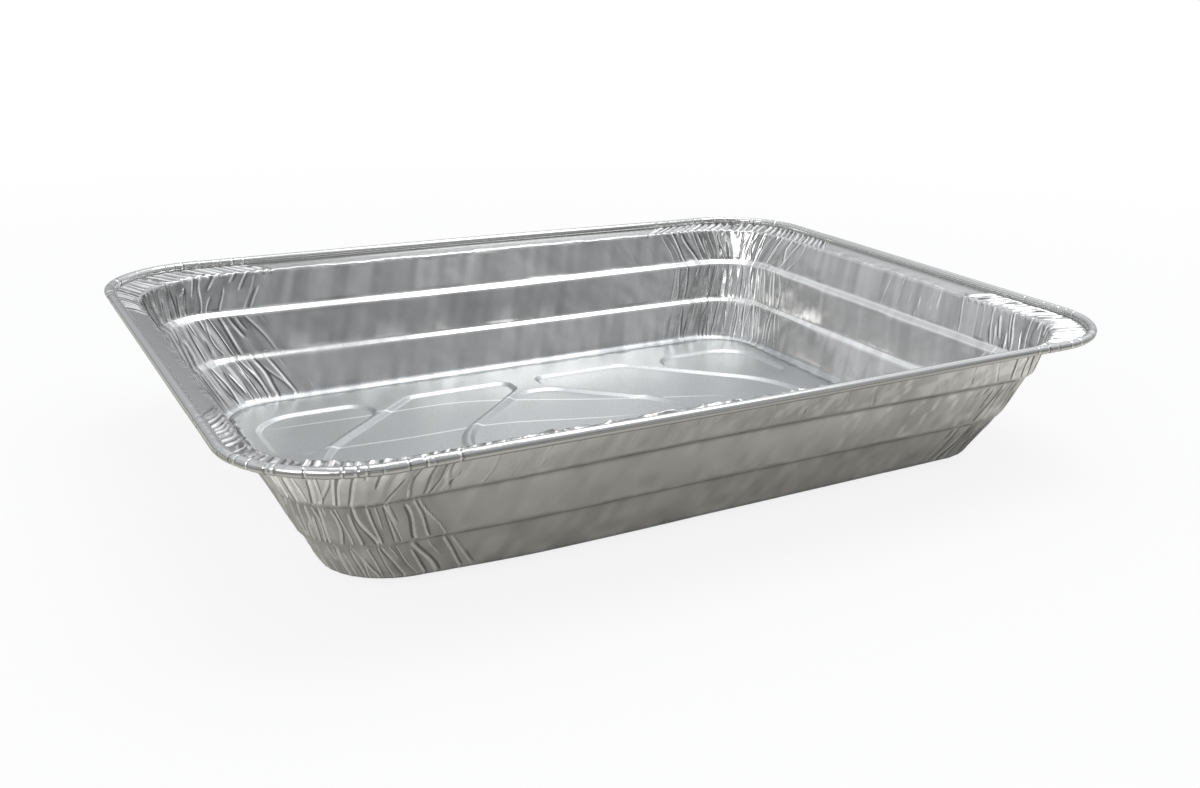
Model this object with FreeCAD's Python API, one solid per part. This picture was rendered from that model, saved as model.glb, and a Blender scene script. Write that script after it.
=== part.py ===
import FreeCAD, Part
import math
import os
import random

from FreeCAD import Vector

# Aluminium foil tray, drawn from one sheet. Millimetres, +Z up, X along the length.
# The origin is in the middle of the plane that the tray stands on.

# size over the rim, and the foil
tray_length = 324.0
tray_width = 264.0
tray_height = 55.6
foil = 0.15

# bead curled round the rim
bead_width = 3.6
bead_height = 3.4
bead_foot_drop = 2.8         # the bead's top down to the flange beside it
bead_step = 45.0             # degrees between the bead's folds
curl_return = 0.5            # how far the curl's end runs on under the bead
gutter = 0.9                 # smooth strip of flange beside the bead

# flange, with its shoulder into the wall
flange_width = 12.0          # the rim's edge to where the flange and the wall would meet
flange_fall = 1.4
pleat_start = 1.3            # the gutter to the full depth of the pleats
shoulder_radius = 1.6

# three bands of wall, with a ledge between each two; drafts in degrees from upright
upper_draft = 24.5
upper_ledge_height = 37.0
upper_ledge_run = 2.3
upper_ledge_fall = 1.6
middle_draft = 19.0
lower_ledge_height = 19.4
lower_ledge_run = 1.6
lower_ledge_fall = 1.5
lower_draft = 26.0
floor_fillet = 4.0

# plan radii of the corners, from the rim down
rim_corner = 39.5
shoulder_corner = 37.0
upper_ledge_corner = 24.5
lower_ledge_corner = 24.0
base_corner = 23.5

# floor: seven sunk panels between narrow ribs
rib_height = 1.2
rib_crest = 1.0
rib_slope_run = 2.2
end_strip = 5.4              # flat strip between the panels and the fillet, at the short sides
side_strip = 16.9            # the same at the long sides
outer_rib_foot = 10.0        # from the middle line to where the outer rib meets the pattern's end
inner_rib_gap = 8.5          # from the diamond's sharp corner to the pattern's side
chevron_gap = 10.0           # between the ends of the two chevrons
diamond_end_radius = 43.0
diamond_peak_radius = 19.0
chevron_bend_radius = 57.0
chevron_shoulder_radius = 10.0
chevron_tip_radius = 7.0
triangle_radius = 20.0
triangle_tip_radius = 11.5
arc_room = 0.48              # share of an outline's side that the arc at one end may take

# gathers at the corners: where they end, how many there are, and how deep
gather_margin = 6.0          # how far they run on along the straight sides
margin_steps = 1             # steps of the bead in that margin
corner_steps = 12            # steps of the bead round the corner
pleat_depth = 0.42
pleat_jag = 0.45
crease_depth = 0.6
ledge_crease = 0.25          # what is left of a crease where it meets a ledge
fillet_crease = 0.3
bead_crimp = 0.12
wander = 0.28                # share of a step that a fold may stand out of line
fade_rate = 1.6              # how late the folds die out in the margin
least_pleat = 0.45           # the shallowest pleat, as a share of the deepest
crease_spread = 0.42         # how uneven the creases are
crease_swing = 0.35          # how far they go up and down in turn
seed = 11

# what the section is worked out from
panel_tilt = math.atan2(rib_height, rib_slope_run)


class Level:
    # One ring of the section: its inset from the rim's edge, its height, its corners' plan radius,
    # the number of times that its stations are halved, and the folds at its stations.
    def __init__(self, inset, height, corner, halvings=0, fold=None):
        self.inset = inset
        self.height = height
        self.corner = corner
        self.halvings = halvings
        self.fold = fold

    def moved(self, inset, height):
        corner = self.corner + self.inset - inset
        return Level(inset, height, corner, self.halvings, self.fold)


def stations(halvings):
    # Turn in degrees and run in millimetres past the corner's ends, from one straight to the next.
    parts = 2 ** halvings
    margin = margin_steps * parts
    round_part = corner_steps * parts
    shaker = random.Random(seed + halvings)
    result = []
    for index in range(2 * margin + round_part + 1):
        place = float(index - margin)
        if 0 < index < 2 * margin + round_part:
            place += shaker.uniform(-wander, wander) * min(halvings, 1)
        turn = 90.0 * min(max(place / round_part, 0.0), 1.0)
        beyond = min(place, 0.0) + max(place - round_part, 0.0)
        result.append((turn, beyond * gather_margin / margin))
    return result


def fade(turn, run):
    # Folds die out towards the ends of the gathers.
    share = 1.0 - abs(run) / gather_margin
    return min(1.0, fade_rate * share)


def zigzag(name, corner, halvings):
    # A fold at every station, up and down in turn, each of its own depth.
    shaker = random.Random("%s %d %d" % (name, corner, seed))
    result = []
    for index, station in enumerate(stations(halvings)):
        depth = shaker.uniform(least_pleat, 1.0) * (1 - 2 * (index % 2))
        result.append(depth * fade(*station))
    return result


def creases(name, corner, halvings):
    # Fewer and less even folds than a zigzag: some stand out, some are almost flat.
    shaker = random.Random("%s %d %d" % (name, corner, seed))
    result = []
    for index, station in enumerate(stations(halvings)):
        depth = shaker.gauss(0.0, crease_spread) + crease_swing * (1 - 2 * (index % 2))
        result.append(max(-1.0, min(1.0, depth)) * fade(*station))
    return result


def pleated(name, lift, jag, make=zigzag):
    # Folds that lift the foil and move it in or out of the plan.
    def fold(corner, halvings):
        lifts = make(name + " lift", corner, halvings)
        jags = make(name + " jag", corner, halvings)
        return [(jag * j, lift * l) for j, l in zip(jags, lifts)]
    return fold


def creased(name, depth):
    return pleated(name, 0.0, depth, creases)


def crimped(name, depth):
    # Dents in the bead, inward only.
    def fold(corner, halvings):
        return [(-depth * abs(dent), 0.0) for dent in creases(name, corner, halvings)]
    return fold


def down_the_wall(start, draft, height):
    # Where a band of wall with this draft, from this point of the section, reaches the height.
    return Vector(start.x + math.tan(math.radians(draft)) * (start.y - height), height, 0)


def fillet_points(before, corner, after, radius, steps):
    # Points of an arc that rounds the corner of two straight runs of the section.
    first = (corner - before).normalize()
    second = (after - corner).normalize()
    turn = first.getAngle(second)
    reach = radius * math.tan(turn / 2)
    start = corner - first * reach
    across = Vector(-first.y, first.x, 0)
    if across.dot(second) < 0:
        across = across * -1
    centre = start + across * radius
    result = []
    for step in range(steps + 1):
        angle = turn * step / steps
        result.append(centre + first * (radius * math.sin(angle)) - across * (radius * math.cos(angle)))
    return result


def food_side():
    # The side of the foil that faces up, from the curl's end over the bead and down to the floor.
    half_width = bead_width / 2
    half_height = bead_height / 2
    middle = tray_height - half_height
    flange_top = tray_height - bead_foot_drop
    levels = [Level(half_width + curl_return, middle - half_height, rim_corner)]
    angle = 270.0
    while angle > -1.0:
        inset = half_width + half_width * math.cos(math.radians(angle))
        height = middle + half_height * math.sin(math.radians(angle))
        levels.append(Level(inset, height, rim_corner, 0, crimped("bead %d" % angle, bead_crimp)))
        angle -= bead_step
    sink = (flange_top - middle) / half_height
    foot = half_width + half_width * math.sqrt(1.0 - sink * sink)
    levels.append(Level(foot, flange_top, rim_corner))
    for level in levels:
        level.corner = rim_corner - level.inset

    rim_side = Vector(foot + gutter, flange_top, 0)
    shoulder = Vector(flange_width, flange_top - flange_fall, 0)
    upper_edge = down_the_wall(shoulder, upper_draft, upper_ledge_height)
    upper_foot = upper_edge + Vector(upper_ledge_run, -upper_ledge_fall, 0)
    lower_edge = down_the_wall(upper_foot, middle_draft, lower_ledge_height)
    lower_foot = lower_edge + Vector(lower_ledge_run, -lower_ledge_fall, 0)
    base = down_the_wall(lower_foot, lower_draft, rib_height + foil)
    middle_of_floor = base + Vector(1, 0, 0)

    shoulder_in, shoulder_out = fillet_points(rim_side, shoulder, upper_edge, shoulder_radius, 1)
    fillet = fillet_points(lower_foot, base, middle_of_floor, floor_fillet, 2)

    def ring(point, corner, halvings, fold=None):
        levels.append(Level(point.x, point.y, corner, halvings, fold))

    along = (shoulder - rim_side).normalize()
    pleats_full = rim_side + along * pleat_start
    ring(rim_side, rim_corner - rim_side.x, 1)
    ring(pleats_full, rim_corner - pleats_full.x, 2, pleated("flange", pleat_depth, 0.0))
    ring(shoulder_in, shoulder_corner, 2, pleated("flange", pleat_depth, pleat_jag))
    shoulder_foot = shoulder_corner + shoulder_in.x - shoulder_out.x
    bands = [
        ("upper", shoulder_out, upper_edge, shoulder_foot, upper_ledge_corner),
        ("middle", upper_foot, lower_edge, upper_ledge_corner - upper_ledge_run, lower_ledge_corner),
        ("lower", lower_foot, fillet[0], lower_ledge_corner - lower_ledge_run, base_corner),
    ]
    ring(shoulder_out, shoulder_foot, 1, creased("upper", crease_depth))
    for name, top, bottom, top_corner, bottom_corner in bands:
        if name != "upper":
            ring(top, top_corner, 0, creased(name, ledge_crease))
        ring((top + bottom) * 0.5, (top_corner + bottom_corner) / 2, 1, creased(name, crease_depth))
        ring(bottom, bottom_corner, 0, creased(name, ledge_crease))
    ring(fillet[1], base_corner + fillet[0].x - fillet[1].x, 1, creased("fillet", fillet_crease))
    ring(fillet[2], base_corner + fillet[0].x - fillet[2].x, 1)
    return levels


def under_side(levels):
    # The same rings one gauge of foil away, on the side that faces down.
    points = [Vector(level.inset, level.height, 0) for level in levels]
    points.append(points[-1] + Vector(1, 0, 0))
    result = []
    for index, level in enumerate(levels):
        ahead = (points[index + 1] - points[index]).normalize()
        behind = (points[index] - points[index - 1]).normalize() if index else ahead
        off_ahead = Vector(ahead.y, -ahead.x, 0)
        off_behind = Vector(behind.y, -behind.x, 0)
        off = (off_ahead + off_behind) * (foil / (1.0 + off_ahead.dot(off_behind)))
        result.append(level.moved(level.inset + off.x, level.height + off.y))
    return result


def corner_points(level):
    # The level's points, one list for each corner, counterclockwise from +X.
    result = []
    middle_x = tray_length / 2 - level.inset - level.corner
    middle_y = tray_width / 2 - level.inset - level.corner
    for corner in range(4):
        side_x = 1 if corner in (0, 3) else -1
        side_y = 1 if corner in (0, 1) else -1
        centre = Vector(side_x * middle_x, side_y * middle_y, level.height)
        places = stations(level.halvings)
        folds = level.fold(corner, level.halvings) if level.fold else [(0.0, 0.0)] * len(places)
        points = []
        for (turn, run), (out, up) in zip(places, folds):
            angle = math.radians(90 * corner + turn)
            outward = Vector(math.cos(angle), math.sin(angle), 0)
            onward = Vector(-outward.y, outward.x, 0)
            points.append(centre + outward * (level.corner + out) + onward * run + Vector(0, 0, up))
        result.append(points)
    return result


def facet(*points):
    return Part.Face(Part.makePolygon(list(points) + [points[0]]))


def patch(a, b, c, d, flip):
    # Four points in order: one flat face if they lie in a plane, or else two triangles.
    normal = (b - a).cross(c - a)
    if abs(normal.dot(d - a)) < 1e-7 * normal.Length:
        return [facet(a, b, c, d)]
    if flip:
        return [facet(a, b, d), facet(b, c, d)]
    return [facet(a, b, c), facet(a, c, d)]


def strip(first, second):
    # Faces between two rows of points at one corner, where one row may have twice the steps.
    if len(first) > len(second):
        first, second = second, first
    faces = []
    for index in range(len(first) - 1):
        a, b = first[index], first[index + 1]
        if len(first) == len(second):
            faces += patch(a, b, second[index + 1], second[index], index % 2)
        else:
            low, mid, high = second[2 * index:2 * index + 3]
            faces += [facet(a, mid, low), facet(a, b, mid), facet(b, high, mid)]
    return faces


def band(first, second):
    # The foil between two levels, all the way round.
    faces = []
    for corner in range(4):
        faces += strip(first[corner], second[corner])
        after = (corner + 1) % 4
        faces += patch(first[corner][-1], first[after][0], second[after][0], second[corner][-1], False)
    return faces


def closed_ring(corners):
    points = [point for corner in corners for point in corner]
    return Part.makePolygon(points + [points[0]])


def limited(points, radii):
    # Radii that leave each side of the outline room for the arcs at its two ends.
    result = []
    for index, radius in enumerate(radii):
        before = points[index - 1] - points[index]
        after = points[(index + 1) % len(points)] - points[index]
        half = before.getAngle(after) / 2
        room = arc_room * min(before.Length, after.Length)
        result.append(min(radius, room * math.tan(half)))
    return result


def outline(points, radii, inward, height):
    # An outline moved inward from a sharp polygon, as its rounded corners: start, middle, end and centre.
    count = len(points)
    sides = []
    for index in range(count):
        along = (points[(index + 1) % count] - points[index]).normalize()
        sides.append((points[index] + Vector(-along.y, along.x, 0) * inward, along))
    corners = []
    for index, radius in enumerate(limited(points, radii)):
        start_a, along_a = sides[index - 1]
        start_b, along_b = sides[index]
        cross = along_a.x * along_b.y - along_a.y * along_b.x
        gap = start_b - start_a
        sharp = start_a + along_a * ((gap.x * along_b.y - gap.y * along_b.x) / cross) + Vector(0, 0, height)
        bend = 1.0 if cross > 0 else -1.0
        moved_radius = radius - bend * inward
        back = moved_radius * math.tan(along_a.getAngle(along_b) / 2)
        centre = sharp - along_a * back + Vector(-along_a.y, along_a.x, 0) * (moved_radius * bend)
        middle = centre + (sharp - centre).normalize() * moved_radius
        corners.append([sharp - along_a * back, middle, sharp + along_b * back, centre])
    return corners


def outline_wire(corners):
    edges = []
    for (start, middle, end, centre), following in zip(corners, corners[1:] + corners[:1]):
        edges.append(Part.Arc(start, middle, end).toShape())
        edges.append(Part.makeLine(end, following[0]))
    return Part.Wire(edges)


def slopes(top, bottom):
    # Flat slopes along the outline's straights, and conical ones turned round its corners' centres.
    faces = []
    count = len(top)
    for index in range(count):
        start, _, end, centre = top[index]
        turn = (start - centre).getAngle(end - centre)
        axis = (start - centre).cross(end - centre).normalize()
        faces.append(Part.makeLine(start, bottom[index][0]).revolve(centre, axis, math.degrees(turn)))
        after = (index + 1) % count
        faces.append(facet(end, top[after][0], bottom[after][0], bottom[index][2]))
    return faces


def mirrored(points, radii, side_x, side_y):
    # The same outline in another quarter of the floor, still counterclockwise.
    moved = [Vector(point.x * side_x, point.y * side_y, 0) for point in points]
    if side_x * side_y < 0:
        return moved[::-1], radii[::-1]
    return moved, radii


def floor_panels(floor_inset):
    # The sharp outline and the radii of each sunk panel, on the middle lines of the ribs.
    end = tray_length / 2 - floor_inset - end_strip
    side = tray_width / 2 - floor_inset - side_strip
    outer = end + outer_rib_foot
    inner = side - inner_rib_gap
    gap = chevron_gap / 2

    diamond = [Vector(inner, 0, 0), Vector(0, inner, 0), Vector(-inner, 0, 0), Vector(0, -inner, 0)]
    diamond_radii = [diamond_end_radius, diamond_peak_radius, diamond_end_radius, diamond_peak_radius]

    upper_arm = [Vector(outer - side, side, 0), Vector(gap, side, 0), Vector(gap, inner - gap, 0)]
    lower_arm = [Vector(point.x, -point.y, 0) for point in reversed(upper_arm)]
    chevron = [Vector(outer, 0, 0)] + upper_arm + [Vector(inner, 0, 0)] + lower_arm
    arm_radii = [chevron_shoulder_radius, chevron_tip_radius, chevron_tip_radius]
    chevron_radii = [chevron_bend_radius] + arm_radii + [diamond_end_radius] + arm_radii[::-1]

    triangle = [Vector(end, outer_rib_foot, 0), Vector(end, side, 0), Vector(outer - side, side, 0)]
    triangle_radii = [triangle_tip_radius, triangle_radius, triangle_tip_radius]

    panels = [(diamond, diamond_radii)]
    for side_x in (1, -1):
        panels.append(mirrored(chevron, chevron_radii, side_x, 1))
        for side_y in (1, -1):
            panels.append(mirrored(triangle, triangle_radii, side_x, side_y))
    return panels


def floor(rim, panels, height, spread):
    # One side of the floor: the flat with its openings, and the slopes and flats of the panels.
    faces = []
    holes = []
    for points, radii in panels:
        top = outline(points, radii, rib_crest / 2 - spread, height)
        bottom = outline(points, radii, rib_crest / 2 + rib_slope_run - spread, height - rib_height)
        holes.append(outline_wire(top))
        faces.append(Part.Face(outline_wire(bottom)))
        faces += slopes(top, bottom)
    faces.append(Part.makeFace([closed_ring(rim)] + holes, "Part::FaceMakerBullseye"))
    return faces


def make_tray():
    upper = food_side()
    lower = under_side(upper)
    upper_rows = [corner_points(level) for level in upper]
    lower_rows = [corner_points(level) for level in lower]
    faces = band(upper_rows[0], lower_rows[0])
    for rows in (upper_rows, lower_rows):
        for first, second in zip(rows, rows[1:]):
            faces += band(first, second)
    panels = floor_panels(upper[-1].inset)
    faces += floor(upper_rows[-1], panels, rib_height + foil, 0.0)
    faces += floor(lower_rows[-1], panels, rib_height, foil * math.tan(panel_tilt / 2))
    shell = Part.makeShell(faces)
    shell.sewShape()
    tray = Part.Solid(shell)
    if tray.Volume < 0:
        tray.reverse()
    return tray


os.makedirs("parts", exist_ok=True)
tray = make_tray()
tray.exportStep("parts/foil_tray.step")
box = tray.BoundBox
print("foil_tray valid", tray.isValid(), "closed", tray.isClosed(), "faces", len(tray.Faces))
print("volume", round(tray.Volume, 1))
print("box", round(box.XLength, 3), round(box.YLength, 3), round(box.ZLength, 3))
print("stands at", round(box.ZMin, 4))
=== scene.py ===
import math
from collections import namedtuple

import bpy
import numpy as np
from mathutils import Matrix, Vector
from mathutils.geometry import delaunay_2d_cdt


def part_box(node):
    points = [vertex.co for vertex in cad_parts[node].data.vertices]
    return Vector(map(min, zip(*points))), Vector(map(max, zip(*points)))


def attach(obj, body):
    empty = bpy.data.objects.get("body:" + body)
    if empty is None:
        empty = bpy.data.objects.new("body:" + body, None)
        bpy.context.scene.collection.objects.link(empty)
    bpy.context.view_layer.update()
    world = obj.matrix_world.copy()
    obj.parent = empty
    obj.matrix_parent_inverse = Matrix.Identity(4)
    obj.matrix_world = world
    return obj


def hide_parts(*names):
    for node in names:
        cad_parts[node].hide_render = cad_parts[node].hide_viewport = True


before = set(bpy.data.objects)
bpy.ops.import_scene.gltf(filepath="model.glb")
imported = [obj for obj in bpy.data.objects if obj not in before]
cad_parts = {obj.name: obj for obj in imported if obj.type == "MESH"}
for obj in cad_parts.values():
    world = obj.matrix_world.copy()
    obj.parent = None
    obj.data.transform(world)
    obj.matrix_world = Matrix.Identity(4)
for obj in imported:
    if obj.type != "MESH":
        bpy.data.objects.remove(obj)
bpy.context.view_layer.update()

low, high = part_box("foil_tray")
mm = 0.001
print("tray frame loaded", [round((b - a) / mm, 1) for a, b in zip(low, high)])


# Shader maths as plain expressions on sockets

class Field:
    def __init__(self, material, socket):
        self.material = material
        self.socket = socket

    def mathNode(self, operation, first, second=0.0):
        return self.material.node("ShaderNodeMath", {"operation": operation}, {0: first, 1: second})

    def __add__(self, other):
        return self.mathNode("ADD", self, other)

    def __sub__(self, other):
        return self.mathNode("SUBTRACT", self, other)

    def __mul__(self, other):
        return self.mathNode("MULTIPLY", self, other)

    def __rsub__(self, other):
        return self.mathNode("SUBTRACT", other, self)

    def sine(self):
        return self.mathNode("SINE", self)

    __radd__ = __add__
    __rmul__ = __mul__


class Nodes:
    def __init__(self, owner):
        self.material = owner
        self.material.use_nodes = True
        self.tree = self.material.node_tree

    def node(self, kind, settings=None, values=None, output=0):
        made = self.tree.nodes.new(kind)
        for key, value in (settings or {}).items():
            setattr(made, key, value)
        for key, value in (values or {}).items():
            self.feed(made.inputs[key], value)
        return Field(self, made.outputs[output])

    def feed(self, entry, value):
        if isinstance(value, Field):
            self.tree.links.new(value.socket, entry)
        else:
            entry.default_value = value

    def range(self, value, start, end, low=0.0, high=1.0):
        # The value from start to end becomes low to high, softly
        return self.node("ShaderNodeMapRange", {"interpolation_type": "SMOOTHSTEP"},
                         {"Value": value, "From Min": start, "From Max": end, "To Min": low, "To Max": high})

    def band(self, value, middle, width):
        # A narrow line where the value passes the middle
        gap = self.node("ShaderNodeMath", {"operation": "ABSOLUTE"}, {0: value - middle})
        return self.range(gap, width, 0.0)

    def noise(self, place, scale, detail):
        return self.node("ShaderNodeTexNoise", {}, {0: place, "Scale": scale, "Detail": detail})


class Finish(Nodes):
    def __init__(self, name):
        super().__init__(bpy.data.materials.new(name))
        self.shader = self.tree.nodes["Principled BSDF"]
        self.surface = self.tree.nodes["Material Output"]

    def set(self, **values):
        for name, value in values.items():
            self.feed(self.shader.inputs[name.replace("_", " ")], value)


# Smooth noise for the foil, the same on every run

def latticeNoise(points, size, seed):
    scaled = points / size
    cell = np.floor(scaled).astype(np.int64)
    part = scaled - cell
    soft = part * part * part * (part * (part * 6.0 - 15.0) + 10.0)
    total = np.zeros(points.shape[:-1])
    for dx in (0, 1):
        for dy in (0, 1):
            for dz in (0, 1):
                corner = cell + np.array([dx, dy, dz])
                mixed = corner[..., 0] * 374761393 + corner[..., 1] * 668265263 + corner[..., 2] * 2147483647
                mixed = (mixed + seed * 974634777) & 0x7FFFFFFF
                mixed = ((mixed ^ (mixed >> 13)) * 1274126177) & 0x7FFFFFFF
                value = ((mixed ^ (mixed >> 16)) & 0xFFFF) / 32767.5 - 1.0
                weight = np.ones_like(total)
                for axis, d in enumerate((dx, dy, dz)):
                    weight = weight * (soft[..., axis] if d else 1.0 - soft[..., axis])
                total += value * weight
    return total


def foilNoise(place, layers, draw=0):
    # Layers of lumps, each with its share, size, rise (small draws them out upwards), lean and own draw
    total = 0.0
    for share, size, rise, lean, ownDraw in layers:
        turned = place * [1, 1, rise] + place[:, 2:3] * [lean, lean, 0]
        total = total + share * latticeNoise(turned, size, draw + ownDraw)
    return total


def softStep(start, end, values):
    share = np.clip((values - start) / (end - start), 0.0, 1.0)
    return share * share * (3.0 - 2.0 * share)


# The tray's section, the same as the solid's, in millimetres

tray = {
    "length": (high.x - low.x) / mm,
    "width": (high.y - low.y) / mm,
    "height": (high.z - low.z) / mm,
    "foil": 0.15,
    "beadWidth": 3.6,
    "beadHeight": 3.4,
    "footDrop": 2.8,
    "gutter": 0.9,
    "flangeWidth": 12.0,
    "flangeFall": 1.4,
    "shoulderRadius": 1.2,
    "upperDraft": 24.5,
    "upperLedge": (37.0, 2.3, 1.6),
    "middleDraft": 19.0,
    "lowerLedge": (19.4, 1.6, 1.5),
    "lowerDraft": 26.0,
    "ledgeRadius": 0.6,
    "floorFillet": 4.0,
    "rimCorner": 39.5,
    "shoulderCorner": 37.0,
    "upperLedgeCorner": 24.5,
    "lowerLedgeCorner": 24.0,
    "baseCorner": 23.5,
    "curlStart": 285.0,
    "curlRows": 18,
    "gutterRows": 2,
    "flangeRows": 11,
    "shoulderSteps": 4,
    "upperRows": 17,
    "middleRows": 17,
    "lowerRows": 14,
    "ledgeRows": 2,
    "ledgeSteps": 2,
    "filletSteps": 6,
    "cornerSteps": 200,
    "marginSteps": 90,
    "margin": 40.0,
    "straightStep": 0.9,
}

Row = namedtuple("Row", "inset height radius band down")


def arcPoints(before, corner, after, radius, count):
    first = (corner - before).normalized()
    second = (after - corner).normalized()
    turn = first.angle(second)
    start = corner - first * (radius * math.tan(turn / 2))
    across = Vector((-first.y, first.x))
    if across.dot(second) < 0:
        across = -across
    centre = start + across * radius
    angles = [turn * step / count for step in range(count + 1)]
    return [centre + first * (radius * math.sin(a)) - across * (radius * math.cos(a)) for a in angles]


def between(start, end, count):
    return [start.lerp(end, step / count) for step in range(1, count)]


def downTheWall(start, draft, height):
    return Vector((start.x + math.tan(math.radians(draft)) * (start.y - height), height))


def sectionRows():
    # Rows of inset, height, corner radius, band and share down the band, from the bead's foot inwards
    top = tray["height"]
    middle = top - tray["beadHeight"] / 2
    flangeTop = top - tray["footDrop"]
    halfWidth = tray["beadWidth"] / 2
    halfHeight = tray["beadHeight"] / 2
    sink = (flangeTop - middle) / halfHeight
    foot = halfWidth + halfWidth * math.sqrt(1 - sink * sink)
    floorTop = panels["ribHeight"] + tray["foil"]
    start = Vector((foot, flangeTop))
    gutterEnd = Vector((foot + tray["gutter"], flangeTop))
    shoulder = Vector((tray["flangeWidth"], flangeTop - tray["flangeFall"]))
    upperHeight, upperRun, upperFall = tray["upperLedge"]
    lowerHeight, lowerRun, lowerFall = tray["lowerLedge"]
    upperEdge = downTheWall(shoulder, tray["upperDraft"], upperHeight)
    upperFoot = upperEdge + Vector((upperRun, -upperFall))
    lowerEdge = downTheWall(upperFoot, tray["middleDraft"], lowerHeight)
    lowerFoot = lowerEdge + Vector((lowerRun, -lowerFall))
    base = downTheWall(lowerFoot, tray["lowerDraft"], floorTop)
    floorWay = base + Vector((1.0, 0.0))

    shoulderArc = arcPoints(gutterEnd, shoulder, upperEdge, tray["shoulderRadius"], tray["shoulderSteps"])
    edges = [shoulder, upperEdge, upperFoot, lowerEdge, lowerFoot, base]
    edgeArcs = []
    for corner in zip(edges, edges[1:], edges[2:]):
        edgeArcs.append(arcPoints(*corner, tray["ledgeRadius"], tray["ledgeSteps"]))
    filletArc = arcPoints(lowerFoot, base, floorWay, tray["floorFillet"], tray["filletSteps"])

    anchors = [
        (foot, tray["rimCorner"] - foot),
        (gutterEnd.x, tray["rimCorner"] - gutterEnd.x),
        (shoulderArc[0].x, tray["shoulderCorner"]),
        (shoulderArc[-1].x, tray["shoulderCorner"] + shoulderArc[0].x - shoulderArc[-1].x),
        (upperEdge.x, tray["upperLedgeCorner"]),
        (upperFoot.x, tray["upperLedgeCorner"] - upperRun),
        (lowerEdge.x, tray["lowerLedgeCorner"]),
        (lowerFoot.x, tray["lowerLedgeCorner"] - lowerRun),
        (filletArc[0].x, tray["baseCorner"]),
        (filletArc[-1].x, tray["baseCorner"] + filletArc[0].x - filletArc[-1].x),
    ]
    insets, radii = zip(*anchors)
    rows = []

    def add(points, band):
        for index, point in enumerate(points):
            radius = float(np.interp(point.x, insets, radii))
            rows.append(Row(point.x, point.y, radius, band, (index + 0.5) / len(points)))

    def ledge(edge, foot):
        return edge + between(edge[-1], foot[0], tray["ledgeRows"]) + foot

    add([start] + between(start, gutterEnd, tray["gutterRows"]), "gutter")
    add([gutterEnd] + between(gutterEnd, shoulderArc[0], tray["flangeRows"]), "flange")
    add(shoulderArc, "shoulder")
    add(between(shoulderArc[-1], edgeArcs[0][0], tray["upperRows"]), "upper")
    add(ledge(edgeArcs[0], edgeArcs[1]), "upperLedge")
    add(between(edgeArcs[1][-1], edgeArcs[2][0], tray["middleRows"]), "middle")
    add(ledge(edgeArcs[2], edgeArcs[3]), "lowerLedge")
    add(between(edgeArcs[3][-1], filletArc[0], tray["lowerRows"]), "lower")
    add(filletArc, "fillet")
    return rows


def beadRows():
    halfWidth = tray["beadWidth"] / 2
    halfHeight = tray["beadHeight"] / 2
    middle = tray["height"] - halfHeight
    sink = (halfHeight - tray["footDrop"]) / halfHeight
    foot = math.degrees(math.asin(sink))
    start, count = tray["curlStart"], tray["curlRows"]
    rows = []
    for step in range(count + 1):
        angle = math.radians(start + (foot - start) * step / count)
        inset = halfWidth + halfWidth * math.cos(angle)
        height = middle + halfHeight * math.sin(angle)
        rows.append(Row(inset, height, tray["rimCorner"] - inset, "bead", step / count))
    return rows


def stationList():
    # Places round the tray, counterclockwise, each with its corner, the turn in degrees, the run past the
    # corner and the share of the straight
    places = []
    steps = tray["cornerSteps"]
    edge = tray["marginSteps"]
    for corner in range(4):
        for step in range(edge):
            places.append((corner, 0.0, -tray["margin"] * (1 - step / edge), 0.0))
        for step in range(steps + 1):
            places.append((corner, 90.0 * step / steps, 0.0, 0.0))
        for step in range(1, edge + 1):
            places.append((corner, 90.0, tray["margin"] * step / edge, 0.0))
        full = tray["width"] if corner in (1, 3) else tray["length"]
        clear = full - 2 * (tray["rimCorner"] + tray["margin"])
        count = int(clear / tray["straightStep"])
        for step in range(1, count):
            places.append((corner, 90.0, tray["margin"], step / count))
    return places


def gridOf(rows):
    # The points of each row, and the outward direction and place of each station
    corner, turn, run, share = np.array(stationList()).T
    corner = corner.astype(int)
    angle = np.radians(90.0 * corner + turn)
    outward = np.stack([np.cos(angle), np.sin(angle), np.zeros_like(angle)], axis=-1)
    onward = np.stack([-np.sin(angle), np.cos(angle), np.zeros_like(angle)], axis=-1)
    sideX = np.where((corner == 0) | (corner == 3), 1.0, -1.0)
    sideY = np.where(corner < 2, 1.0, -1.0)
    points = np.zeros((len(rows), len(corner), 3))
    for index, row in enumerate(rows):
        middleX = tray["length"] / 2 - row.inset - row.radius
        middleY = tray["width"] / 2 - row.inset - row.radius
        centre = np.stack([sideX * middleX, sideY * middleY, np.full(len(corner), row.height)], axis=-1)
        full = np.where(corner % 2 == 0, middleX, middleY) * 2
        straight = (full - 2 * tray["margin"]) * share
        points[index] = centre + outward * row.radius + onward * (run + straight)[:, None]
    return points, outward, corner, turn, run, share


# The foil's folds, in millimetres. Noise is given in layers, as foilNoise takes them.

waves = {
    "gaps": (0.62, 1.38),
    "depths": (0.35, 1.0),
    "overrun": 20.0,
    "spare": 20,
}

creaseStyle = {
    "gaps": (0.45, 1.55),
    "whole": 0.7,
    "beyond": 0.3,
    "starts": (0.0, 0.6),
    "lengths": (0.35, 0.9),
    "lean": 1.3,
    "bend": 0.7,
    "bendTurn": 4.0,
    "phases": (0.0, 6.3),
    "heights": (0.35, 1.0),
    "widths": (0.7, 1.5),
    "width": 0.52,
    "endFade": 0.12,
    "markGain": 2.3,
}


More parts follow.
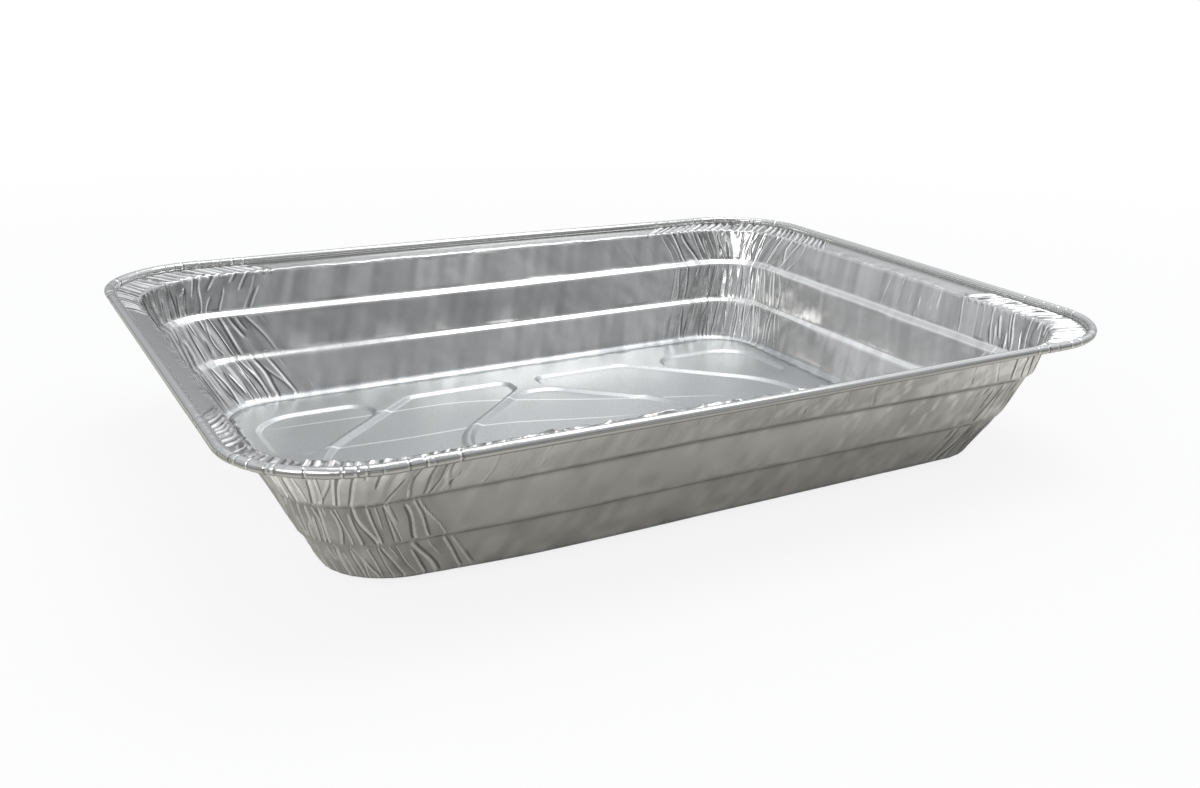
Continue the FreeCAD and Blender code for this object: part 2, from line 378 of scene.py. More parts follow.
def foldWave(places, pitch, draw, keen=1.0):
    # Folds at uneven places and of uneven depth, read at distances along the rim
    shaker = np.random.default_rng(draw)
    start, end = places.min() - waves["overrun"], places.max() + waves["overrun"]
    count = int((end - start) / (pitch / 2)) + waves["spare"]
    knots = start + np.cumsum(shaker.uniform(*waves["gaps"], count) * pitch / 2)
    depth = shaker.uniform(*waves["depths"], count) * np.where(np.arange(count) % 2, 1.0, -1.0)
    wave = np.interp(places, knots, depth)
    return np.sign(wave) * np.abs(wave) ** keen


def creaseSet(draw, reach, pitch):
    # Single creases from -reach to reach: place, lean, bend, phase, top, bottom, height, width
    shaker = np.random.default_rng(draw)
    style = creaseStyle
    places = -reach + np.cumsum(shaker.uniform(*style["gaps"], int(2 * reach / pitch)) * pitch)
    count = len(places)
    above, below = -style["beyond"], 1.0 + style["beyond"]
    starts = np.where(shaker.random(count) < style["whole"], above, shaker.uniform(*style["starts"], count))
    ends = np.where(shaker.random(count) < style["whole"], below,
                    starts + shaker.uniform(*style["lengths"], count))
    side = np.where(shaker.random(count) < 0.5, -1.0, 1.0)
    leans = shaker.normal(0.0, style["lean"], count)
    bends = shaker.normal(0.0, style["bend"], count)
    phases = shaker.uniform(*style["phases"], count)
    heights = side * shaker.uniform(*style["heights"], count)
    widths = shaker.uniform(*style["widths"], count)
    return np.stack([places, leans, bends, phases, starts, ends, heights, widths], axis=-1)


def creased(spots, down, creases):
    # The height of the creases here, and the painted highlight and painted shade beside each of them
    fade = creaseStyle["endFade"]
    total = np.zeros_like(spots)
    paintedMarks = np.zeros_like(spots)
    for place, lean, bend, phase, start, end, height, width in creases:
        window = softStep(start - fade, start + fade, down) * (1.0 - softStep(end - fade, end + fade, down))
        if window > 0.0:
            line = place + lean * (down - 0.5) + bend * math.sin(creaseStyle["bendTurn"] * down + phase)
            gap = (spots - line) / (width * creaseStyle["width"])
            total += height * window * np.exp(-gap ** 2)
            # Painted highlight on one side of each crease and painted shade on the other
            paintedMarks += height * window * gap * np.exp(-gap ** 2) * creaseStyle["markGain"]
    return total, paintedMarks


# The flange: gathers round the corners, ruffles along the front, painted highlight and shade on the gathers

pleats = {
    "pitch": 3.9,
    "height": 0.68,
    "jag": 0.9,
    "jagFall": 0.6,
    "keen": 0.8,
    "draw": 5,
    "reach": ((30.0, 26.0), (22.0, 22.0), (33.0, 32.0), (26.0, 38.0)),
    "fade": 1.5,
    "start": (0.4, 1.9),
    "inner": (8.0, 11.2),
    "skew": 0.35,
    "skewFrom": 8.0,
    "skewNoise": ((1.0, 14.0, 0.0, 0.0, 8),),
    "evenness": 0.8,
    "unevenness": 0.45,
    "unevenNoise": ((1.0, 7.0, 1.0, 0.0, 3),),
    # Painted highlight on the gathers, painted shade lines between them, and painted shade over the whole
    # flange
    "shine": 0.25,
    "line": 2.3,
    "linePitch": 3.1,
    "lineSkew": 0.8,
    "lineKeen": 1.5,
    "lineDraw": 60,
    "paintedTone": 0.7,
    "ruffle": 1.2,
    "ruffleRise": 0.8,
    "ruffleNoise": ((1.0, 4.0, 1.0, 0.0, 21), (0.7, 2.0, 1.0, 0.0, 22)),
    "calm": 0.25,
    "frontFade": (90.0, -60.0),
    "frontLift": 1.1,
}


def cornerWaves(ring, spots, pitch, draw, keen=1.0):
    # Folds along the rim, each corner with its own draw
    wave = np.zeros(len(spots))
    for which in range(4):
        here = ring.corner == which
        wave[here] = foldWave(spots[here], pitch, draw + which, keen)
    return wave


def addPleats(ring, row, place, start, out, up):
    # Moves a row of the flange out and up, and returns the painted highlight and shade of its gathers
    fall = row.down * (row.band == "shoulder")
    full = softStep(*pleats["start"], row.inset - start)
    inner = softStep(*pleats["inner"], row.inset)
    skew = foilNoise(place, pleats["skewNoise"]) * pleats["skew"]
    spots = ring.along + skew * (row.inset - pleats["skewFrom"])
    wave = cornerWaves(ring, spots, pleats["pitch"], pleats["draw"], pleats["keen"])
    lines = cornerWaves(ring, spots + pleats["lineSkew"] * skew, pleats["linePitch"], pleats["lineDraw"])
    uneven = pleats["evenness"] + pleats["unevenness"] * foilNoise(place, pleats["unevenNoise"])
    up += pleats["height"] * wave * ring.nearPleats * full * (1.0 - fall) * uneven
    out += pleats["jag"] * wave * ring.nearPleats * inner * (1.0 - pleats["jagFall"] * fall)
    ripple = foilNoise(place, pleats["ruffleNoise"])
    front = (place[:, 1] < 0) * softStep(*pleats["frontFade"], place[:, 0]) * ring.lengthways
    ruffled = pleats["calm"] + front
    ruffle = pleats["ruffle"] * ripple * inner * ruffled * (1 - ring.nearPleats)
    out += ruffle
    up += pleats["frontLift"] * inner * (ruffled - pleats["calm"]) * (1.0 - fall)
    up += pleats["ruffleRise"] * ruffle
    # Painted highlight on the gathers and painted shade in their valleys and along thin lines between them
    shine = wave + pleats["shine"] - pleats["line"] * np.maximum(lines, 0.0) ** pleats["lineKeen"]
    return shine * ring.nearPleats * full * (1.0 - fall)


# The walls: creases and crushed plates at the corners, soft waves and streaks between them, and painted
# light and shade over them

walls = {
    "draws": {"upper": 40, "middle": 60, "lower": 80},
    "creasePitch": 3.3,
    "creaseHeight": 0.5,
    "creaseReach": 25.0,
    "creaseFull": 5.0,
    "edgeStrength": 0.35,
    "shoulderStrength": 0.5,
    "ledgeStrength": 0.22,
    "filletStrength": 0.4,
    "lean": 0.5,
    "leanNoise": ((1.0, 11.0, 0.3, 0.0, 0),),
    "straightPitch": 3.6,
    "straightShare": 0.3,
    "straightBack": 0.35,
    "straightFade": (2.0, 20.0),
    "straightLean": 2.0,
    "straightDraw": 120,
    "straightScale": 400.0,
    "platePitch": 7.0,
    "plateDepth": 0.35,
    "plateLean": 6.0,
    "plateDraw": 7,
    "lump": 0.35,
    "lumpNoise": ((1.0, 5.0, 0.6, 0.0, 3),),
    "quiet": 0.35,
    "rippleDepth": 0.13,
    "rippleLeast": 0.25,
    "rippleFade": (110.0, 10.0),
    "rippleShares": {"upper": 1.0, "middle": 0.8, "lower": 0.4},
    "rippleNoise": ((1.0, 4.2, 0.22, 0.0, 9), (0.6, 2.3, 0.3, 0.0, 11)),
    "streakDepth": 0.24,
    "streakNoise": ((1.0, 17.0, 0.45, 0.5, 5), (0.4, 6.0, 0.45, 0.5, 6)),
    "crinkleDepth": 0.07,
    "crinkleFall": 0.8,
    "crinkleNoise": ((1.0, 3.0, 0.16, 0.0, 91), (0.5, 1.7, 0.16, 0.0, 92)),
}

# Painted light and shade on the walls and ledges
paintedLight = {
    "markGain": 2.6,
    "markMost": 1.6,
    "plate": 0.6,
    "lump": 0.7,
    "lean": 0.8,
    "streak": 0.7,
    "streakFall": 0.7,
    "streakNoise": ((1.0, 3.4, 0.06, -0.34, 13), (0.6, 10.0, 0.06, -0.34, 14)),
    "stroke": 2.6,
    "strokeFrom": {"upper": -40.0, "middle": 20.0},
    "strokeFade": 50.0,
    "strokeNoise": ((1.0, 2.5, 0.06, -0.34, 15),),
    "glint": 4.5,
    "glintFade": (0.35, 1.0),
    "glintNoise": ((1.0, 4.6, 0.06, -0.34, 17),),
    "upper": 0.85,
    "corner": 0.5,
    "ledgeShine": 1.5,
    "ledge": 0.7,
    "turn": 0.4,
}

wallOf = {
    "shoulder": "upper", "upper": "upper", "upperLedge": "middle", "middle": "middle",
    "lowerLedge": "lower", "lower": "lower", "fillet": "lower",
}
backWall, frontWall = 1, 3


def foldStrength(band, down):
    # How much of the corner's folds is left at this place of the section
    if band in walls["draws"]:
        edge = walls["edgeStrength"]
        return edge + (1.0 - edge) * math.sin(math.pi * down) ** 0.5
    if band == "shoulder":
        return walls["shoulderStrength"] * down
    if band == "fillet":
        return walls["filletStrength"] * (1.0 - down)
    return walls["ledgeStrength"]


def addCreases(ring, row, place, sets, out):
    # Moves a row of a wall outwards, and returns the painted highlight and shade beside its creases and its
    # painted patches of light and shade
    name = wallOf[row.band]
    draw = walls["draws"][name]
    low = row.down if row.band == name else float(row.band == "fillet")
    strength = foldStrength(row.band, row.down)
    lean = foilNoise(place, walls["leanNoise"], draw) * walls["lean"]
    ridges = np.zeros(len(place))
    pairs = np.zeros(len(place))
    for which in range(4):
        here = ring.corner == which
        ridges[here], pairs[here] = creased(ring.along[here] + lean[here], low, sets[name, which])
    ridges, pairs = ridges * ring.nearCreases, pairs * ring.nearCreases
    if name == "upper":
        back = np.where(place[:, 1] < 0, 1.0, walls["straightBack"])
        amount = walls["straightShare"] * back * softStep(*walls["straightFade"], ring.past)
        for which in range(4):
            here = ring.wall == which
            spots = ring.sideways[here] + walls["straightLean"] * lean[here]
            ridge, pair = creased(spots, low, sets["straight", which])
            ridges[here] += ridge * amount[here]
            pairs[here] += pair * amount[here]
    spots = ring.along + walls["plateLean"] * lean * (low - 0.5)
    plates = cornerWaves(ring, spots, walls["platePitch"], draw + walls["plateDraw"])
    lumps = foilNoise(place, walls["lumpNoise"], draw)
    out += strength * walls["creaseHeight"] * ridges
    out += strength * ring.nearCreases * walls["plateDepth"] * (plates + walls["lump"] * lumps)
    addRipples(ring, row, place, low, out)
    # Painted highlight and shade beside the creases
    paintedMarks = pairs * min(paintedLight["markMost"], paintedLight["markGain"] * strength)
    # Painted light and shade over the crushed plates and lumps near the corners
    crushShading = (paintedLight["plate"] * plates + paintedLight["lump"] * lumps + paintedLight["lean"] * lean) * ring.nearCreases
    return paintedMarks, crushShading + paintedWallLight(ring, row, place)


def addRipples(ring, row, place, low, out):
    # Soft waves and slanting streaks pressed into the whole wall, and fine crinkles near its top
    name = wallOf[row.band]
    draw = walls["draws"][name]
    quiet = 1.0 if row.band == name else walls["quiet"]
    ripples = foilNoise(place, walls["rippleNoise"], draw)
    beside = softStep(*walls["rippleFade"], ring.past) * walls["rippleShares"][name]
    least = walls["rippleLeast"]
    out += quiet * walls["rippleDepth"] * ripples * (least + (1.0 - least) * beside)
    out += quiet * walls["streakDepth"] * foilNoise(place, walls["streakNoise"], draw)
    if name == "upper":
        left = (1.0 - walls["crinkleFall"] * low) * quiet * (1 - ring.nearCreases)
        out += walls["crinkleDepth"] * foilNoise(place, walls["crinkleNoise"]) * left


def paintedWallLight(ring, row, place):
    # Painted light and shade on the walls: soft light and dark streaks of painted reflection, painted
    # highlight strokes on the front wall, painted glints above the back wall's lower ledge, the upper band
    # painted darker at the back and right and lighter at the front and left, painted shade near the corners,
    # and ledges painted bright at the back and on the right and dark elsewhere
    band = row.band
    draw = walls["draws"][wallOf[band]]
    # Soft streaks of painted reflection
    paintedTone = foilNoise(place, paintedLight["streakNoise"], draw)
    total = paintedLight["streak"] * paintedTone * (1.0 - paintedLight["streakFall"] * ring.nearCreases)
    if band in paintedLight["strokeFrom"]:
        # Painted highlight strokes on the front wall
        strokes = np.maximum(foilNoise(place, paintedLight["strokeNoise"], draw), 0.0) * (ring.wall == frontWall)
        begin = paintedLight["strokeFrom"][band]
        total += paintedLight["stroke"] * strokes * softStep(begin, begin + paintedLight["strokeFade"], place[:, 0])
    if band == "middle":
        # Painted glints above the back wall's lower ledge
        glints = np.maximum(foilNoise(place, paintedLight["glintNoise"], draw), 0.0) * (ring.wall == backWall)
        total += paintedLight["glint"] * glints * (1.0 - ring.nearCreases) * softStep(*paintedLight["glintFade"], row.down)
    if band == "upper":
        # The upper band painted darker at the back and right, lighter at the front and left
        total += paintedLight["upper"] * (1.0 - 2.0 * ring.facing)
    if band in walls["draws"]:
        # Painted shade near the corners
        total -= paintedLight["corner"] * ring.nearCreases
    if band in ("upperLedge", "lowerLedge"):
        # Ledges painted bright at the back and on the right, painted dark at the front and left
        total += paintedLight["ledgeShine"] * ring.facing - paintedLight["ledge"] * (1.0 - ring.facing)
    return total


# The bead: crimps pressed into it, and painted shade lines along its outside and underside

crimps = {
    "pitch": 4.4,
    "depth": 0.3,
    "width": 0.55,
    "draw": 20,
    "lump": 0.05,
    "lumpNoise": ((1.0, 2.2, 1.0, 0.0, 31),),
    # Painted shade lines along the bead's underside and outside
    "shade": 0.7,
    "under": (0.23, 0.15),
    "outside": ((0.25, 0.31), (0.4, 0.34)),
}


def addCrimps(ring, row, place, sets, out, up):
    # Moves a row of the bead inwards and down, and returns its painted highlight and shade
    dents = np.zeros(len(place))
    paintedMarks = np.zeros(len(place))
    for which in range(4):
        here = ring.corner == which
        dents[here], paintedMarks[here] = creased(ring.along[here], 0.5, sets["bead", which])
    begin, end = crimps["outside"]
    outside = softStep(*begin, row.down) * softStep(*end, row.down)
    # Painted shade lines along the bead's underside and outside
    paintedMarks -= crimps["shade"] * (softStep(*crimps["under"], row.down) + outside)
    lumps = crimps["lump"] * ring.nearPleats * (1.0 + foilNoise(place, crimps["lumpNoise"]))
    dents = crimps["depth"] * np.abs(dents) + lumps
    half = Vector((tray["beadWidth"] / 2, tray["beadHeight"] / 2))
    out -= dents * (half.x - row.inset) / half.x
    up -= dents * (row.height - tray["height"] + half.y) / half.y
    return paintedMarks


# The whole sheet: the body leans over, the long sides bow, and one corner is dented

warp = {
    "lean": -2.45,
    "leanInsets": (6.0, 16.0),
    "rimBow": 1.4,
    "wallBow": -1.6,
    "bowHalf": 108.5,
    "bowHeights": (0.0, 18.0, 35.0, 51.4, 55.6),
    "bowShares": (0.0, 0.4, 1.0, -0.6, -1.0),
    "dentPlace": (-120.0, -90.0),
    "dentSize": 34.0,
    "dentFade": (46.0, 4.0),
    "dentPush": (-1.8, 4.4, 0.3),
}


class Ring:
    # The places round the tray: how far each is past its corner, which wall it is on, and what reaches it
    def __init__(self, first, outward, corner, turn, run, share):
        degree = math.radians(1.0) * tray["shoulderCorner"]
        x, y = first[:, 0], first[:, 1]
        self.outward = outward
        self.corner = corner
        self.halfTurn = 45.0 * degree
        self.along = turn * degree + run - self.halfTurn
        straight = np.where(share > 0, walls["straightScale"] * np.minimum(share, 1 - share), 0.0)
        self.past = np.maximum(np.abs(self.along) - self.halfTurn, 0.0) + straight
        self.wall = np.round(corner + turn / 90.0).astype(int) % 4
        self.lengthways = self.wall % 2 == 1
        self.sideways = np.where(self.lengthways, -x * np.sign(y), y * np.sign(x))
        reaches = np.array(pleats["reach"])[corner, (self.along > 0).astype(int)]
        self.nearPleats = 1.0 - softStep(reaches - pleats["fade"], reaches, self.past)
        self.nearCreases = 1.0 - softStep(walls["creaseFull"], walls["creaseReach"], self.past)
        bowed = np.cos(np.pi / 2 * np.minimum(np.abs(x) / warp["bowHalf"], 1.0)) ** 2
        self.bowShape = bowed * self.lengthways
        # Which way each place faces, for the light and shade painted on the upper band and the ledges
        self.facing = softStep(-paintedLight["turn"], paintedLight["turn"], outward[:, 0] + outward[:, 1])


def creaseSets(halfTurn):
    # The creases of each band at each corner, of the bead, and of each straight wall
    reach = halfTurn + walls["creaseReach"]
    sets = {}
    for which in range(4):
        for name, draw in walls["draws"].items():
            sets[name, which] = creaseSet(draw + which, reach, walls["creasePitch"])
        sets["bead", which] = creaseSet(crimps["draw"] + which, reach, crimps["pitch"])
        sets["bead", which][:, -1] *= crimps["width"]
        draw = walls["straightDraw"] + which
        sets["straight", which] = creaseSet(draw, tray["length"] / 2, walls["straightPitch"])
    return sets


def displaced(rows, points, *places):
    # The rows with their folds, the painted highlight and shade beside the folds and the painted patches of
    # light and shade
    ring = Ring(points[0], *places)
    sets = creaseSets(ring.halfTurn)
    moved = points.copy()
    paintedMarks = np.zeros(points.shape[:2])
    paintedPatches = np.zeros(points.shape[:2])
    for index, row in enumerate(rows):
        place = points[index]
        out, up = np.zeros((2, len(place)))
        if row.band in ("flange", "shoulder"):
            paintedMarks[index] = addPleats(ring, row, place, rows[0].inset, out, up)
            # Painted shade: the whole flange and shoulder darker than the walls
            paintedPatches[index] = -pleats["paintedTone"]
        if row.band in wallOf:
            paintedMarks[index], paintedPatches[index] = addCreases(ring, row, place, sets, out)
        if row.band == "bead":
            paintedMarks[index] = addCrimps(ring, row, place, sets, out, up)
        depth = float(np.interp(row.height, warp["bowHeights"], warp["bowShares"]))
        bow = warp["wallBow"] * depth if depth > 0 else -warp["rimBow"] * depth
        out += bow * ring.bowShape
        moved[index] += ring.outward * out[:, None]
        moved[index][:, 0] += warp["lean"] * softStep(*warp["leanInsets"], row.inset)
        moved[index][:, 2] += up
    return moved, paintedMarks, paintedPatches


def dented(points):
    # The front left corner has been pushed back a little at its foot
    x, y, z = points[..., 0], points[..., 1], points[..., 2]
    gap = np.hypot(x - warp["dentPlace"][0], y - warp["dentPlace"][1])
    share = np.exp(-(gap / warp["dentSize"]) ** 2) * softStep(*warp["dentFade"], z)
    return points + share[..., None] * np.array(warp["dentPush"])


def quadGrid(rowCount, stationCount):
    faces = []
    for row in range(rowCount - 1):
        for station in range(stationCount):
            a = row * stationCount + station
            b = row * stationCount + (station + 1) % stationCount
            faces.append((a, b, b + stationCount, a + stationCount))
    return faces


# The floor: sunk panels with rounded corners between narrow ribs

panels = {
    "ribHeight": 1.2,
    "ribCrest": 1.0,
    "slope": ((-0.25, 0.0), (0.05, 0.02), (0.4, 0.14), (1.1, 0.5),
              (1.8, 0.86), (2.15, 0.98), (2.45, 1.0), (3.0, 1.0)),
    "endStrip": 5.4,
    "sideStrip": 16.9,
    "outerFoot": 10.0,
    "innerGap": 8.5,
    "chevronGap": 10.0,
    "diamondEnd": 43.0,
    "diamondPeak": 19.0,
    "chevronBend": 57.0,
    "chevronShoulder": 10.0,
    "chevronTip": 7.0,
    "triangle": 20.0,
    "triangleTip": 11.5,
    "cornerRoom": 0.48,
    "step": 1.4,
    "leastSteps": 3,
    "fill": 2.6,
    "fillJitter": 0.2,
    "fillGap": 0.55,
    "fillRowStep": 0.87,
    "fillDraw": 3,
    "mergeGap": 1e-5,
    "straightTurn": 1e-4,
    "nudge": 0.2,
    "wave": 0.05,
    "waveNoise": ((1.0, 34.0, 0.0, 0.0, 71), (0.5, 15.0, 0.0, 0.0, 72)),
    "waveEdge": 6.0,
}


def roundedLoop(points, radii, inward):
    nextPoints = points[1:] + points[:1]
    loop = []
    corners = []
    for previous, here, following, radius in zip(points[-1:] + points[:-1], points, nextPoints, radii):
        before, after = previous - here, following - here
        room = panels["cornerRoom"] * min(before.length, after.length)
        limit = min(radius, room * math.tan(before.angle(after) / 2))
        alongA = (here - previous).normalized()
        alongB = after.normalized()
        cross = alongA.x * alongB.y - alongA.y * alongB.x
        bend = 1.0 if cross > 0 else -1.0
        turn = alongA.angle(alongB)
        radius = limit - bend * inward
        normalA = Vector((-alongA.y, alongA.x))
        normalB = Vector((-alongB.y, alongB.x))
        sharp = here + (normalA + normalB) * (inward / (1.0 + normalA.dot(normalB)))
        back = radius * math.tan(turn / 2)
        centre = sharp - alongA * back + normalA * (radius * bend)
        steps = max(panels["leastSteps"], math.ceil(limit * turn / panels["step"]))
        corners.append((sharp - alongA * back, centre, turn * bend, steps))
    for index, (start, centre, turn, steps) in enumerate(corners):
        arm = start - centre
        for step in range(steps + 1):
            angle = turn * step / steps
            spin = Vector((arm.x * math.cos(angle) - arm.y * math.sin(angle),
                           arm.x * math.sin(angle) + arm.y * math.cos(angle)))
            end = centre + spin
            loop.append(end)
        following = corners[(index + 1) % len(corners)][0]
        length = (nextPoints[index] - points[index]).length
        loop += between(end, following, max(2, round(length / (2 * panels["step"]))))
    return loop


def panelOutlines(floorInset):
    end = tray["length"] / 2 - floorInset - panels["endStrip"]
    side = tray["width"] / 2 - floorInset - panels["sideStrip"]
    outer = end + panels["outerFoot"]
    inner = side - panels["innerGap"]
    gap = panels["chevronGap"] / 2
    diamond = [(inner, 0), (0, inner), (-inner, 0), (0, -inner)]
    diamondRadii = [panels["diamondEnd"], panels["diamondPeak"]] * 2
    arm = [(outer - side, side), (gap, side), (gap, inner - gap)]
    lower = [(x, -y) for x, y in reversed(arm)]
    chevron = [(outer, 0)] + arm + [(inner, 0)] + lower
    armRadii = [panels["chevronShoulder"], panels["chevronTip"], panels["chevronTip"]]
    chevronRadii = [panels["chevronBend"]] + armRadii + [panels["diamondEnd"]] + armRadii[::-1]
    triangle = [(end, panels["outerFoot"]), (end, side), (outer - side, side)]
    triangleRadii = [panels["triangleTip"], panels["triangle"], panels["triangleTip"]]
    shapes = [([Vector(point) for point in diamond], diamondRadii)]
    for points, radii, mirrors in ((chevron, chevronRadii, ((1, 1), (-1, 1))),
                                   (triangle, triangleRadii, ((1, 1), (-1, 1), (1, -1), (-1, -1)))):
        for mirrorX, mirrorY in mirrors:
            turned = [Vector((x * mirrorX, y * mirrorY)) for x, y in points]
            if mirrorX * mirrorY < 0:
                shapes.append((turned[::-1], radii[::-1]))
            else:
                shapes.append((turned, radii))
    return shapes


def fillArea(loops, inside, spacing):
    # Triangles between closed loops: new points, and faces by index into the loops and then the new points
    flat = [point for loop in loops for point in loop]
    edges = []
    offset = 0
    for loop in loops:
        count = len(loop)
        edges += [(offset + index, offset + (index + 1) % count) for index in range(count)]
        offset += count
    xs = [point.x for point in loops[0]]
    ys = [point.y for point in loops[0]]
    shaker = np.random.default_rng(panels["fillDraw"])
    jitter = panels["fillJitter"]
    extra = []
    nearBy = np.array([(point.x, point.y) for point in flat])
    y = min(ys)
    row = 0
    while y < max(ys):
        x = min(xs) + (row % 2) * spacing / 2
        while x < max(xs):
            asideX = shaker.uniform(-jitter, jitter) * spacing
            asideY = shaker.uniform(-jitter, jitter) * spacing
            spot = Vector((x + asideX, y + asideY))
            gap = np.min(np.hypot(nearBy[:, 0] - spot.x, nearBy[:, 1] - spot.y))
            if gap > panels["fillGap"] * spacing and inside(spot):
                extra.append(spot)
            x += spacing
        y += spacing * panels["fillRowStep"]
        row += 1
    result = delaunay_2d_cdt(flat + extra, edges, [], 0, panels["mergeGap"])
    made, madeFaces, original = result[0], result[2], result[3]
    back = [ids[0] if ids else None for ids in original]
    faces = []
    for face in madeFaces:
        middle = sum((made[index] for index in face), Vector((0, 0))) / len(face)
        if inside(middle):
            faces.append([back[index] for index in face])
    return extra, faces


def nudged(loop, side):
    # Straight runs bend a hair towards the filled side, so that no slivers form along them
    count = len(loop)
    straight = []
    for index in range(count):
        before = (loop[index] - loop[index - 1]).normalized()
        after = (loop[(index + 1) % count] - loop[index]).normalized()
        straight.append(abs(before.x * after.y - before.y * after.x) < panels["straightTurn"])
    bent = [point.copy() for point in loop]
    first = straight.index(False)
    run = []
    for step in range(1, count + 1):
        index = (first + step) % count
        if straight[index]:
            run.append(index)
            continue
        for place, member in enumerate(run):
            share = (place + 1) / (len(run) + 1)
            along = (loop[index] - loop[member]).normalized()
            depth = side * panels["nudge"] * share * (1 - share)
            bent[member] += Vector((-along.y, along.x)) * depth
        run = []
    return bent


def insideLoop(loop):
    px = np.array([point.x for point in loop])
    py = np.array([point.y for point in loop])
    qx = np.roll(px, -1)
    qy = np.roll(py, -1)

    def test(spot):
        crossing = (py > spot.y) != (qy > spot.y)
        with np.errstate(divide="ignore", invalid="ignore"):
            at = px + (spot.y - py) / (qy - py) * (qx - px)
        return bool(np.count_nonzero(crossing & (spot.x < at)) % 2)
    return test


def floorMesh(rim, floorInset, vertices, faces):
    # Adds the floor inside the last ring of the wall, which is already in vertices
    top = panels["ribHeight"] + tray["foil"]
    crest = panels["ribCrest"] / 2
    profile = [(crest + along, fall) for along, fall in panels["slope"]]
    rimLoop = [Vector((vertices[index][0] - warp["lean"], vertices[index][1])) for index in rim]
    holes = []
    holeIds = []

    def add(points, level):
        before = len(vertices)
        vertices.extend((point.x + warp["lean"], point.y, level) for point in points)
        return list(range(before, len(vertices)))

    def fill(loops, ids, inside, level):
        extra, made = fillArea(loops, inside, panels["fill"])
        ids = ids + add(extra, level)
        faces.extend(tuple(ids[index] for index in face) for face in made)

    for points, radii in panelOutlines(floorInset):
        loops = [roundedLoop(points, radii, inward) for inward, fall in profile]
        rings = [add(loop, top - panels["ribHeight"] * fall) for loop, (inward, fall) in zip(loops, profile)]
        for first, second in zip(rings, rings[1:]):
            faces.extend(zip(first, first[1:] + first[:1], second[1:] + second[:1], second))
        holes.append(nudged(loops[0], -1.0))
        holeIds += rings[0]
        bottom = nudged(loops[-1], 1.0)
        fill([bottom], rings[-1], insideLoop(bottom), tray["foil"])
    inRim = insideLoop(rimLoop)
    inHoles = [insideLoop(hole) for hole in holes]

    def onFlat(spot):
        return inRim(spot) and not any(test(spot) for test in inHoles)

    fill([rimLoop] + holes, rim + holeIds, onFlat, top)


def shown(name, data):
    made = bpy.data.objects.new(name, data)
    bpy.context.scene.collection.objects.link(made)
    return made


def makePiece(name, vertices, faces, paintedMarks):
    mesh = bpy.data.meshes.new(name)
    mesh.from_pydata((vertices * mm).tolist(), [], faces)
    mesh.update()
    mesh.shade_smooth()
    for title, values in paintedMarks.items():
        values = np.pad(values.ravel(), (0, len(vertices) - values.size))
        mesh.attributes.new(title, "FLOAT", "POINT").data.foreach_set("value", values)
    return shown(name, mesh)


def makeSheet(name, rows, withFloor=False):
    points, paintedMarks, paintedPatches = displaced(rows, *gridOf(rows))
    stationCount = points.shape[1]
    vertices = points.reshape(-1, 3).tolist()
    faces = [face[::-1] for face in quadGrid(len(rows), stationCount)]
    if withFloor:
        before = len(vertices)
        rim = list(range(before - stationCount, before))
        floorInset = rows[-1].inset
        floorMesh(rim, floorInset, vertices, faces)
        vertices = np.array(vertices)
        flat = vertices[before:]
        wave = foilNoise(flat, panels["waveNoise"])
        room = np.array([tray["length"], tray["width"]]) / 2 - floorInset - np.abs(flat[:, :2])
        flat[:, 2] += panels["wave"] * wave * softStep(0.0, panels["waveEdge"], room.min(axis=1))
    # The painted highlight and shade go to the mesh as attributes
    return makePiece(name, dented(np.array(vertices)), faces, {"paintedFoldLight": paintedMarks, "paintedPatch": paintedPatches})


def makePan():
    # The sheet in three pieces, parted on the flat of each ledge
    rows = sectionRows()
    bands = [row.band for row in rows]
    edgeRows = tray["ledgeSteps"] + 1
    first = bands.index("upperLedge") + edgeRows
    second = bands.index("lowerLedge") + edgeRows
    return [
        makeSheet("rim_and_upper_wall", rows[:first + 1]),
        makeSheet("middle_wall", rows[first:second + 1]),
        makeSheet("lower_wall_and_floor", rows[second:], True),
    ]


# The foil's look. Lines, clouds, speckles and grain each have a scale and a detail.

foilFinish = {
    "colour": 0.68,
    # Painted shade in the folds' pinches and painted highlight on their crests
    "paintedShadeColour": 0.27,
    "paintedHighlightColour": 1.0,
    "highlightMarks": (0.1, 0.5),
    "shadeMarks": (-0.15, -0.7),
    "patchContrast": 0.14,
    # Painted reflection tints: the walls a little warmer, the floor a little bluer
    "paintedWallTint": (1.0, 0.995, 0.98),
    "paintedFloorTint": (0.97, 0.995, 1.01),
    "wallFrom": (0.002, 0.005),
    "roughness": 0.2,
    "floorRoughness": 0.33,
    "crestRoughness": 0.08,
    "lineStretch": (40.0, 900.0, 900.0),
    "lines": (1.0, 3.0),
    "lineRoughness": 0.04,
    "lineDepth": 0.5,
    "clouds": (55.0, 4.0),
    "cloudRoughness": 0.08,
    "speckles": (1500.0, 2.0),
    "speckleShade": 0.3,
    # Painted shade: the floor darker than the walls
    "paintedFloorShade": 0.11,
    "grain": (900.0, 2.0),
    "grainDepth": 0.00002,
}

# Each painted highlight line has its place across, its slant on the right, its waves, their phase and depth,
# and its end
floorHighlightLines = {
    "shade": 0.42,
    "width": 0.001,
    "turnAt": -0.038,
    "turnSoftness": 0.03,
    "leftEnd": (-0.118, -0.1),
    "lines": (
        (0.0625, 0.45, 70.0, 0.0, 0.0008, (0.075, 0.05)),
        (0.0295, 0.3, 90.0, 1.0, 0.0007, (0.03, 0.0)),
    ),
}


